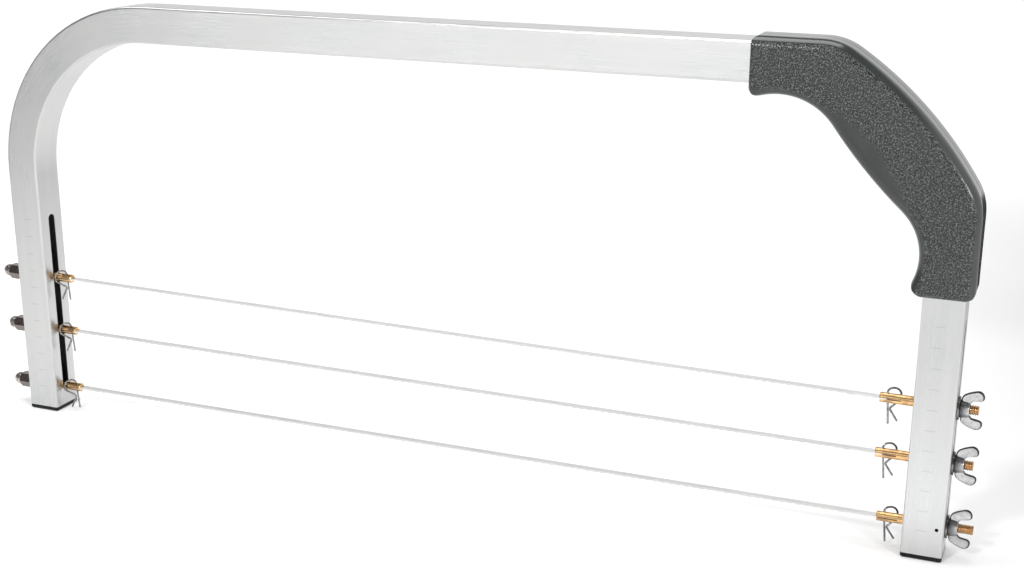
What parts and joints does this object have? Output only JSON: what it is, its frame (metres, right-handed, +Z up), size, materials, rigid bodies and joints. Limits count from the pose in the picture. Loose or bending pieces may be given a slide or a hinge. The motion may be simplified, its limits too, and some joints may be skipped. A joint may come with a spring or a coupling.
{
  "type": "cake leveler",
  "caption": "Bow frame of square tube with a moulded corner handle and serrated blades that slide in slotted legs and lock with wing nuts.",
  "frame": {"origin": "on the plane the feet stand on, midway between the acorn nuts' tips on the left and the wing nuts' tips on the right, and midway through the tube's depth", "axes": "+X along the blades towards the leg with the handle, +Y away from the blades' teeth, +Z up"},
  "size_m": [0.5497, 0.024, 0.2397],
  "materials": {
    "aluminium": "satin anodised",
    "grey_plastic": "fine moulded grain",
    "black_plastic": "smooth",
    "brass": "bright turned",
    "stainless": "cold rolled strip",
    "zinc_steel": "bright plated",
    "spring_steel": "drawn wire"
  },
  "bodies": {
    "frame": {"frame_tube": "aluminium", "left_foot_cap": "black_plastic", "right_foot_cap": "black_plastic", "handle_front_half": "grey_plastic", "handle_rear_half": "grey_plastic", "handle_screws": "zinc_steel"},
    "bottom_blade_set": {"bottom_blade": "stainless", "bottom_left_rod": "brass", "bottom_right_rod": "brass", "bottom_left_washer": "zinc_steel", "bottom_acorn_nut": "zinc_steel"},
    "bottom_loose_washer": {"bottom_right_washer": "zinc_steel"},
    "bottom_clamp_nut": {"bottom_wing_nut": "zinc_steel"},
    "bottom_left_hairpin": {"bottom_left_clip": "spring_steel"},
    "bottom_right_hairpin": {"bottom_right_clip": "spring_steel"},
    "middle_blade_set": {"middle_blade": "stainless", "middle_left_rod": "brass", "middle_right_rod": "brass", "middle_left_washer": "zinc_steel", "middle_acorn_nut": "zinc_steel"},
    "middle_loose_washer": {"middle_right_washer": "zinc_steel"},
    "middle_clamp_nut": {"middle_wing_nut": "zinc_steel"},
    "middle_left_hairpin": {"middle_left_clip": "spring_steel"},
    "middle_right_hairpin": {"middle_right_clip": "spring_steel"},
    "top_blade_set": {"top_blade": "stainless", "top_left_rod": "brass", "top_right_rod": "brass", "top_left_washer": "zinc_steel", "top_acorn_nut": "zinc_steel"},
    "top_loose_washer": {"top_right_washer": "zinc_steel"},
    "top_clamp_nut": {"top_wing_nut": "zinc_steel"},
    "top_left_hairpin": {"top_left_clip": "spring_steel"},
    "top_right_hairpin": {"top_right_clip": "spring_steel"}
  },
  "joints": [
    {"name": "bottom_height", "type": "slide", "parent": "frame", "child": "bottom_blade_set", "axis": [0, 0, 1], "range_m": [-0.0003, 0.0055]},
    {"name": "bottom_clamp_travel", "type": "slide", "parent": "bottom_blade_set", "child": "bottom_loose_washer", "axis": [1, 0, 0.003], "range_m": [0, 0.0042]},
    {"name": "bottom_wing_turn", "type": "hinge", "parent": "bottom_loose_washer", "child": "bottom_clamp_nut", "pos_m": [0.26404, 0, 0.01493], "axis": [1, 0, 0.003], "range_deg": [0, 1440]},
    {"name": "bottom_left_clip_swivel", "type": "hinge", "parent": "bottom_blade_set", "child": "bottom_left_hairpin", "pos_m": [-0.23067, 0, 0.01345], "axis": [-0.0901, 0, 0.9959], "range_deg": [0, 75]},
    {"name": "bottom_right_clip_swivel", "type": "hinge", "parent": "bottom_blade_set", "child": "bottom_right_hairpin", "pos_m": [0.23442, 0, 0.01484], "axis": [-0.0901, 0, 0.9959], "range_deg": [0, 75]},
    {"name": "middle_height", "type": "slide", "parent": "frame", "child": "middle_blade_set", "axis": [0, 0, 1], "range_m": [-0.0055, 0.004]},
    {"name": "middle_clamp_travel", "type": "slide", "parent": "middle_blade_set", "child": "middle_loose_washer", "axis": [1, 0, -0.0026], "range_m": [0, 0.0042]},
    {"name": "middle_wing_turn", "type": "hinge", "parent": "middle_loose_washer", "child": "middle_clamp_nut", "pos_m": [0.26404, 0, 0.04707], "axis": [1, 0, -0.0026], "range_deg": [0, 1440]},
    {"name": "middle_left_clip_swivel", "type": "hinge", "parent": "middle_blade_set", "child": "middle_left_hairpin", "pos_m": [-0.23067, 0, 0.04836], "axis": [-0.0846, 0, 0.9964], "range_deg": [0, 75]},
    {"name": "middle_right_clip_swivel", "type": "hinge", "parent": "middle_blade_set", "child": "middle_right_hairpin", "pos_m": [0.23142, 0, 0.04716], "axis": [-0.0846, 0, 0.9964], "range_deg": [0, 75]},
    {"name": "top_height", "type": "slide", "parent": "frame", "child": "top_blade_set", "axis": [0, 0, 1], "range_m": [-0.0025, 0.034]},
    {"name": "top_clamp_travel", "type": "slide", "parent": "top_blade_set", "child": "top_loose_washer", "axis": [0.9999, 0, -0.0108], "range_m": [0, 0.0042]},
    {"name": "top_wing_turn", "type": "hinge", "parent": "top_loose_washer", "child": "top_clamp_nut", "pos_m": [0.26403, 0, 0.07449], "axis": [0.9999, 0, -0.0108], "range_deg": [0, 1440]},
    {"name": "top_left_clip_swivel", "type": "hinge", "parent": "top_blade_set", "child": "top_left_hairpin", "pos_m": [-0.23066, 0, 0.07982], "axis": [-0.0764, 0, 0.9971], "range_deg": [0, 75]},
    {"name": "top_right_clip_swivel", "type": "hinge", "parent": "top_blade_set", "child": "top_right_hairpin", "pos_m": [0.23141, 0, 0.07484], "axis": [-0.0764, 0, 0.9971], "range_deg": [0, 75]}
  ],
  "couplings": [
    {"joint": "bottom_wing_turn", "follows": "bottom_clamp_travel", "rad_per_m": 5936.9},
    {"joint": "middle_wing_turn", "follows": "middle_clamp_travel", "rad_per_m": 5936.9},
    {"joint": "top_wing_turn", "follows": "top_clamp_travel", "rad_per_m": 5936.9}
  ]
}
